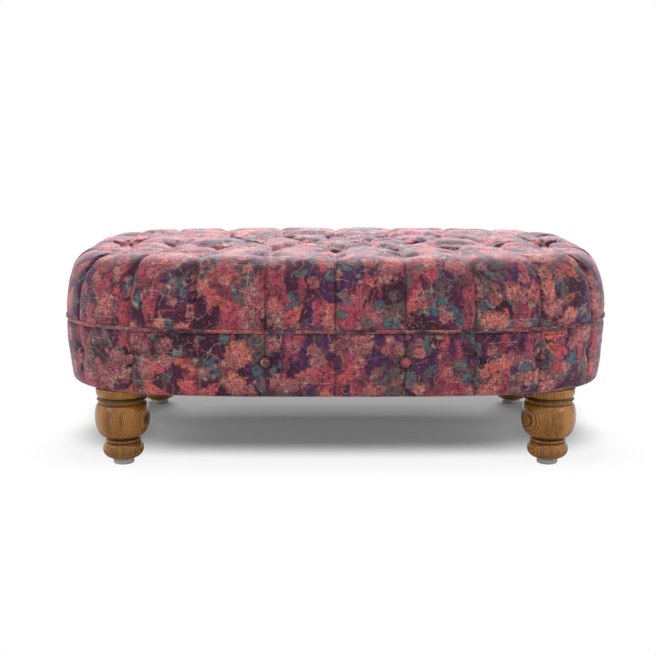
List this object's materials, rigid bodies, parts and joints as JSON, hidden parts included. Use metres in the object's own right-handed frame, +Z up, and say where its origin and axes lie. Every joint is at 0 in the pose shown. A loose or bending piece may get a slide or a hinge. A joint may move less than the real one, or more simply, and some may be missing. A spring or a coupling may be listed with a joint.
{
  "type": "tuffet",
  "caption": "Oval upholstered footstool with a deep-buttoned top, pleated and buttoned border, seam piping and turned wooden bun feet.",
  "frame": {"origin": "centre of the footprint on the floor, under the middle of the oval", "axes": "+X along the long axis of the oval, +Y to the rear, +Z up"},
  "size_m": [1.1044, 0.7084, 0.42],
  "materials": {
    "fabric": "woven linen-velvet look with a distressed floral print in plum, raspberry, coral, teal and cream",
    "oak": "honey oak, turned, satin lacquer",
    "glide": "grey, matte",
    "steel": "zinc plated",
    "foam": "open-cell polyurethane foam",
    "plywood": "raw birch plywood",
    "hardboard": "raw hardboard",
    "softwood": "planed pine",
    "cambric": "black non-woven dust cloth"
  },
  "bodies": {
    "root": {"seat_cover": "fabric", "seat_foam": "foam", "top_button_01": "fabric", "top_button_02": "fabric", "top_button_03": "fabric", "top_button_04": "fabric", "top_button_05": "fabric", "top_button_06": "fabric", "top_button_07": "fabric", "top_button_08": "fabric", "top_button_09": "fabric", "top_button_10": "fabric", "top_button_11": "fabric", "top_button_12": "fabric", "top_button_13": "fabric", "top_button_14": "fabric", "top_button_15": "fabric", "top_button_16": "fabric", "top_button_17": "fabric", "top_button_18": "fabric", "seam_piping": "fabric", "border_cover": "fabric", "border_padding": "foam", "side_wrap": "hardboard", "deck_board": "plywood", "frame_stud_01": "softwood", "frame_stud_02": "softwood", "frame_stud_03": "softwood", "frame_stud_04": "softwood", "frame_stud_05": "softwood", "frame_stud_06": "softwood", "frame_stud_07": "softwood", "frame_stud_08": "softwood", "frame_stud_09": "softwood", "frame_stud_10": "softwood", "frame_stud_11": "softwood", "frame_stud_12": "softwood", "cross_rail_left": "softwood", "cross_rail_right": "softwood", "bottom_board": "plywood", "dust_cover": "cambric", "leg_front_left": "oak", "glide_front_left": "glide", "hanger_bolt_front_left": "steel", "tee_nut_front_left": "steel", "leg_front_right": "oak", "glide_front_right": "glide", "hanger_bolt_front_right": "steel", "tee_nut_front_right": "steel", "leg_rear_right": "oak", "glide_rear_right": "glide", "hanger_bolt_rear_right": "steel", "tee_nut_rear_right": "steel", "leg_rear_left": "oak", "glide_rear_left": "glide", "hanger_bolt_rear_left": "steel", "tee_nut_rear_left": "steel"}
  },
  "joints": []
}
